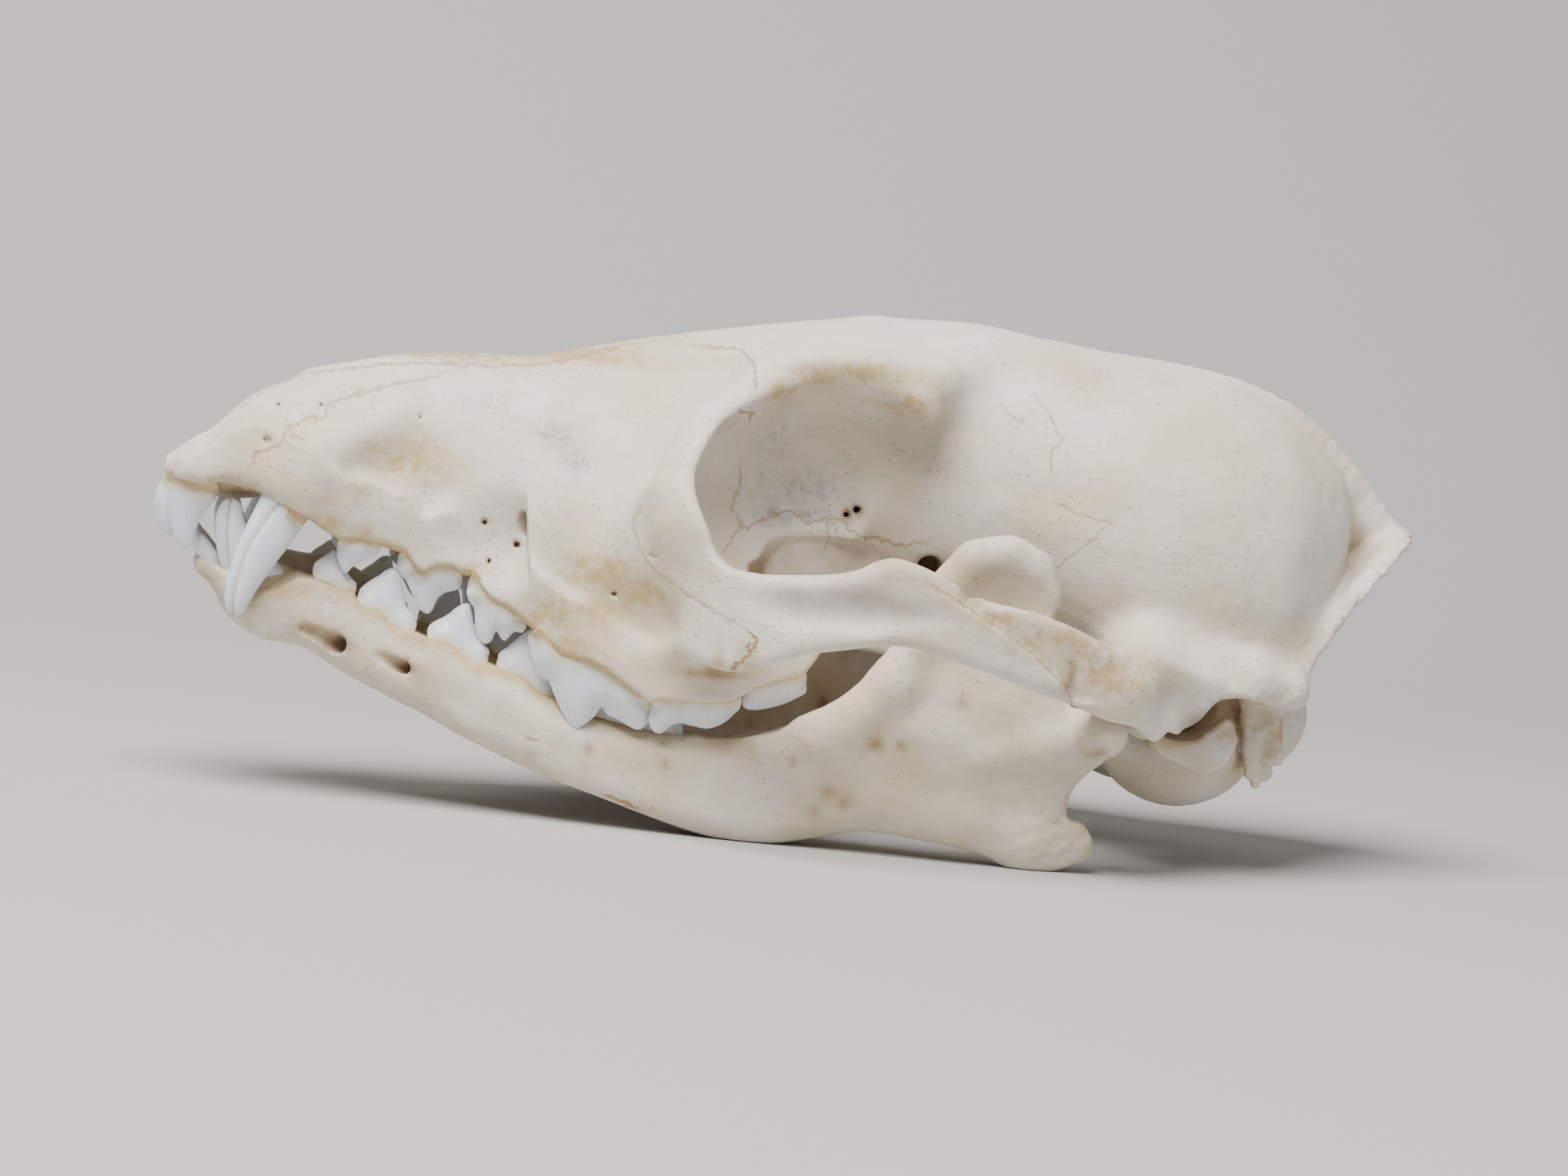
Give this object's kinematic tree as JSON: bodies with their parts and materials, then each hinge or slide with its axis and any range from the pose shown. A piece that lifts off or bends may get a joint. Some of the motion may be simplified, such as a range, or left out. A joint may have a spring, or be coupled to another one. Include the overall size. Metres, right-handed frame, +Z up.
{
  "type": "jackal skull",
  "caption": "Dry jackal skull with its lower jaw closed under it, at life size, resting on the underside of the jaw.",
  "frame": {"origin": "on the surface that the skull rests on, under the middle of its box", "axes": "+X from the nose to the back of the head, +Y to the animal's right, +Z up"},
  "size_m": [0.1654, 0.0904, 0.0673],
  "materials": {
    "skull_bone": "dry cleaned bone, cream white with tan stains, matt with a slight sheen",
    "jaw_bone": "dry cleaned bone, a little yellower than the skull, matt",
    "tooth_enamel": "enamel, glossy bluish white, stained amber at the necks"
  },
  "bodies": {
    "root": {"cranium": "skull_bone", "muzzle": "skull_bone", "jugal_left": "skull_bone", "jugal_right": "skull_bone", "mandible_left": "jaw_bone", "mandible_right": "jaw_bone"}
  },
  "joints": []
}
